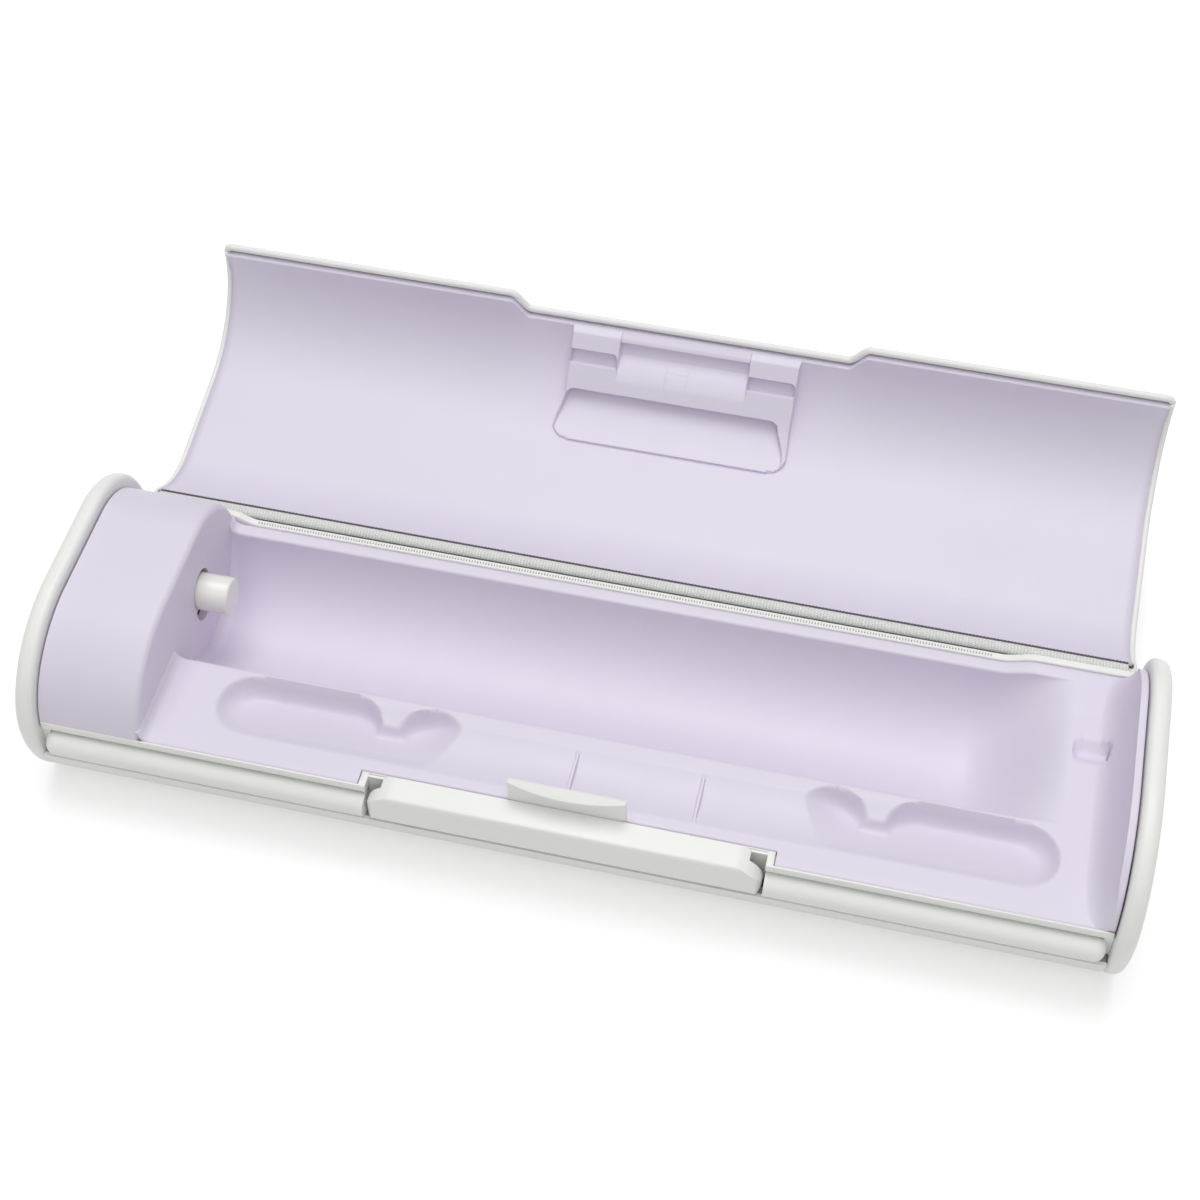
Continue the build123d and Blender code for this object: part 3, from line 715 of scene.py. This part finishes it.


# ------------------------------------------------------------------ hinge band
# A flat woven band of silvery white yarn is the hinge: it is held behind the rear rail and under the lid's
# lip, over the whole length of the case. A row of fine grey stitches runs along its edge at the base. The dark
# cord along its edge at the lid and the dark thread at its edge at the base are painted shadow, not parts: they
# stand for the shade in the gap under the lid's lip and in the slot where the band goes into the rear rail.


def woven_band():
    """Herringbone weave along the band's own UV map: slanted picks, loose fibres and a slight sheen."""
    material = bpy.data.materials.new("woven_band")
    material.use_nodes = True
    nodes, links = material.node_tree.nodes, material.node_tree.links
    shader = nodes["Principled BSDF"]
    shader.inputs["Roughness"].default_value = 0.55
    shader.inputs["Sheen Weight"].default_value = 0.3
    place = nodes.new("ShaderNodeUVMap")
    place.uv_map = "weave"

    zigzag = nodes.new("ShaderNodeTexWave")
    zigzag.wave_type, zigzag.bands_direction, zigzag.wave_profile = "BANDS", "X", "SIN"
    zigzag.inputs["Scale"].default_value = 0.42
    zigzag.inputs["Distortion"].default_value = 0.6
    zigzag.inputs["Detail Scale"].default_value = 3
    split = nodes.new("ShaderNodeSeparateXYZ")
    fold = nodes.new("ShaderNodeMath")
    fold.operation = "PINGPONG"
    fold.inputs[1].default_value = 0.42
    join = nodes.new("ShaderNodeCombineXYZ")
    lean = nodes.new("ShaderNodeMath")
    lean.operation = "ADD"
    links.new(place.outputs["UV"], split.inputs["Vector"])
    links.new(split.outputs["Y"], fold.inputs[0])
    links.new(split.outputs["X"], lean.inputs[0])
    links.new(fold.outputs["Value"], lean.inputs[1])
    links.new(lean.outputs["Value"], join.inputs["X"])
    links.new(split.outputs["Y"], join.inputs["Y"])
    links.new(join.outputs["Vector"], zigzag.inputs["Vector"])

    fibre = nodes.new("ShaderNodeTexNoise")
    fibre.inputs["Scale"].default_value = 4.5
    fibre.inputs["Detail"].default_value = 4
    links.new(place.outputs["UV"], fibre.inputs["Vector"])

    mix = nodes.new("ShaderNodeMix")
    mix.data_type = "RGBA"
    mix.inputs["A"].default_value = (0.50, 0.50, 0.485, 1)
    mix.inputs["B"].default_value = (0.93, 0.93, 0.91, 1)
    share = nodes.new("ShaderNodeMath")
    share.operation = "MULTIPLY_ADD"
    share.inputs[1].default_value = 0.6
    links.new(zigzag.outputs["Fac"], share.inputs[0])
    links.new(fibre.outputs["Fac"], share.inputs[2])
    links.new(share.outputs["Value"], mix.inputs["Factor"])
    links.new(mix.outputs["Result"], shader.inputs["Base Color"])

    bump = nodes.new("ShaderNodeBump")
    bump.inputs["Strength"].default_value = 0.8
    bump.inputs["Distance"].default_value = 0.0003
    links.new(share.outputs["Value"], bump.inputs["Height"])
    links.new(bump.outputs["Normal"], shader.inputs["Normal"])
    return material


band_half, band_y, band_wall = 117.0, 34.65, 0.55
bend_radius, bend_z, bend_turns = 1.4, 25.5, [radians(12 * i) for i in range(1, 13)]
band_path = [(band_y, 22.0), (band_y, 25.4)]
band_path += [(band_y + bend_radius * (1 - cos(a)), bend_z + bend_radius * sin(a)) for a in bend_turns]
band_path += [(37.6, 26.2), (37.95, 25.9), (38.15, 25.6)]
selvedge_pitch, selvedge_tooth = 0.8, 0.16
band_columns = spaced((-band_half, selvedge_pitch / 2), (band_half, 1))


def band_point(x, row):
    """Point on the band; its free rows bulge out and in a little with each pick, as a selvedge does."""
    y, z = band_path[row]
    tooth = selvedge_tooth * cos(2 * pi * x / selvedge_pitch) if row >= len(band_path) - 2 else 0.0
    return Vector((x, y + tooth, z))


band = net(band_columns, range(len(band_path)), band_point)
weave = band.loops.layers.uv.new("weave")
for face in band.faces:
    for loop in face.loops:
        loop[weave].uv = (loop.vert.co.x, loop.vert.co.y + loop.vert.co.z)
face_towards(band, Vector((0, 0, 1)))
band_cloth = woven_band()
band_thing = piece("woven_hinge", band, band_cloth, None, ["hinge_band"], wall=band_wall,
                   smooth_angle=60)
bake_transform(band_thing)

stitch_end, stitch_clear, stitch_pitch = 90.0, 3.0, 0.68
stitch_wander, stitch_turn = 0.03, 1.7
stitch_size, stitch_y, stitch_z = (0.36, 0.8, 0.5), 33.2, 26.42
# The operator gives a sphere's faces in another order each run, so they are sorted along an odd direction.
sort_direction = Vector((1, 10, 100))
stitches = bmesh.new()
bmesh.ops.create_uvsphere(stitches, u_segments=6, v_segments=4, radius=0.5)
stitches.faces.sort(key=lambda face: face.calc_center_median().dot(sort_direction))
bmesh.ops.scale(stitches, vec=stitch_size, verts=stitches.verts)
bmesh.ops.translate(stitches, vec=(-stitch_end, stitch_y, stitch_z), verts=stitches.verts)
first = list(stitches.verts) + list(stitches.edges) + list(stitches.faces)
for i in range(1, int((2 * stitch_end - stitch_clear) / stitch_pitch)):
    more = bmesh.ops.duplicate(stitches, geom=first)["geom"]
    corners = [part for part in more if isinstance(part, bmesh.types.BMVert)]
    bmesh.ops.translate(stitches, vec=(i * stitch_pitch, stitch_wander * sin(i * stitch_turn), 0), verts=corners)
grey_thread = plain_finish("grey_thread", (0.52, 0.52, 0.50), 0.8, pattern_scale=1800, depth=0.06,
                           contrast=0.3)
piece("selvedge_stitches", stitches, grey_thread, "base", [], smooth_angle=60)

# Near-black yarn finish for two thin strips of painted shadow along the band's edges.
painted_shadow_yarn = plain_finish("painted_shadow_grey_yarn", (0.09, 0.085, 0.095), 0.7, pattern_scale=1800, depth=0.06,
                         contrast=0.3)
# Painted shadow: this dark cord stands for the shade in the gap between the band and the lid's lip; it swells
# with each pick, as that shadow's zigzag does.
cord_centre, cord_radius, cord_swell = (38.42, 25.42), 0.4, 0.18
cord_line = [(Vector((x, *cord_centre)), 1 + cord_swell * cos(2 * pi * x / selvedge_pitch))
             for x in spaced((-band_half, selvedge_pitch / 3), (band_half, 1))]
cord = tube("edge_cord", cord_line, cord_radius, 2)
piece("painted_gap_shadow_cord", cord, painted_shadow_yarn, "lid", [], smooth_angle=60)

# Painted shadow: this thin dark thread stands for the shade where the band goes into the slot in the rear rail.
seam_centre, seam_radius = (34.3, 26.35), 0.13
seam_line = [(Vector((x, *seam_centre)), 1) for x in spaced((-band_half, 4), (band_half, 1))]
seam = tube("painted_seam_shadow", seam_line, seam_radius, 2)
piece("painted_seam_shadow", seam, painted_shadow_yarn, "base", [], smooth_angle=60)


# ------------------------------------------------------------------ release button and hook
# Glossy-edged white bar on two guide stems with springs behind it; pushing it in slides the hook back
# from under the catch. The hook is a separate tongue, lapped under the bar's flange. The springs, which in the
# case shorten against the guide as the bar goes in, are drawn as rigid pieces on the base, each with its own
# mesh.

softened("button_bar", white_plastic, "button", 0.45)
softened("latch_hook", white_plastic, "button", 0.2)
finish_node("button_guide", grey_plastic)

for side in ("left", "right"):
    spring = softened("button_spring_" + side, bright_steel, "base", None, merge_flats=False)
    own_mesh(spring)


# ------------------------------------------------------------------ floor, light and camera
# A white sweep under soft light from above and a little behind.

def lamp(name, place, aim, strength, size):
    """One soft lamp, pointed at a place on the case."""
    light = bpy.data.lights.new(name, "AREA")
    light.energy = strength
    light.size = size
    holder = bpy.data.objects.new(name, light)
    holder.location = place
    holder.rotation_euler = (Vector(aim) - Vector(place)).to_track_quat("-Z", "Y").to_euler()
    bpy.context.scene.collection.objects.link(holder)


def white_sweep(shade, own_light):
    """Floor that the camera sees as white, and that still takes the object's shadow."""
    material = bpy.data.materials.new("white_sweep")
    material.use_nodes = True
    nodes, links = material.node_tree.nodes, material.node_tree.links
    nodes.clear()
    out = nodes.new("ShaderNodeOutputMaterial")
    matte = nodes.new("ShaderNodeBsdfDiffuse")
    matte.inputs["Color"].default_value = (shade, shade, shade, 1)
    glow = nodes.new("ShaderNodeEmission")
    path = nodes.new("ShaderNodeLightPath")
    seen = nodes.new("ShaderNodeMath")
    seen.operation = "MAXIMUM"
    links.new(path.outputs["Is Camera Ray"], seen.inputs[0])
    links.new(path.outputs["Is Glossy Ray"], seen.inputs[1])
    level = nodes.new("ShaderNodeMath")
    level.operation = "MULTIPLY"
    level.inputs[1].default_value = own_light
    links.new(seen.outputs["Value"], level.inputs[0])
    links.new(level.outputs["Value"], glow.inputs["Strength"])
    both = nodes.new("ShaderNodeAddShader")
    links.new(matte.outputs["BSDF"], both.inputs[0])
    links.new(glow.outputs["Emission"], both.inputs[1])
    links.new(both.outputs["Shader"], out.inputs["Surface"])
    return material


sweep = bmesh.new()
bmesh.ops.create_grid(sweep, x_segments=1, y_segments=1, size=6)
floor_mesh = bpy.data.meshes.new("floor")
sweep.to_mesh(floor_mesh)
sweep.free()
floor_mesh.materials.append(white_sweep(shade=0.8, own_light=0.36))
floor = bpy.data.objects.new("floor", floor_mesh)
bpy.context.scene.collection.objects.link(floor)

case_middle = (0, 0.03, 0.02)
lamp("key_softbox", (-0.05, 0.38, 1.6), case_middle, 12.5, 1.1)
lamp("front_fill", (0.15, -0.8, 1.4), case_middle, 5.5, 1.4)

world = bpy.data.worlds.new("studio")
bpy.context.scene.world = world
world.use_nodes = True
world_nodes, world_links = world.node_tree.nodes, world.node_tree.links
background = world_nodes["Background"]
background.inputs["Color"].default_value = (1, 1, 1, 1)
ray = world_nodes.new("ShaderNodeLightPath")
seen = world_nodes.new("ShaderNodeMapRange")
seen.inputs["To Min"].default_value = 0.43
seen.inputs["To Max"].default_value = 1.0
world_links.new(ray.outputs["Is Camera Ray"], seen.inputs["Value"])
world_links.new(seen.outputs["Result"], background.inputs["Strength"])

eye = Vector((0.0619, -0.2618, 0.4106))
right, up, back = (0.9746, 0.2239, 0.0), (-0.1769, 0.7701, 0.6129), (0.1372, -0.5974, 0.7901)
camera = bpy.data.objects.new("camera", bpy.data.cameras.new("camera"))
camera.data.lens = 62.4
camera.data.sensor_width = 36
camera.data.clip_start = 0.01
camera.matrix_world = Matrix.Translation(eye) @ Matrix((right, up, back)).transposed().to_4x4()
bpy.context.scene.collection.objects.link(camera)
bpy.context.scene.camera = camera
bpy.context.scene.view_settings.view_transform = "Standard"
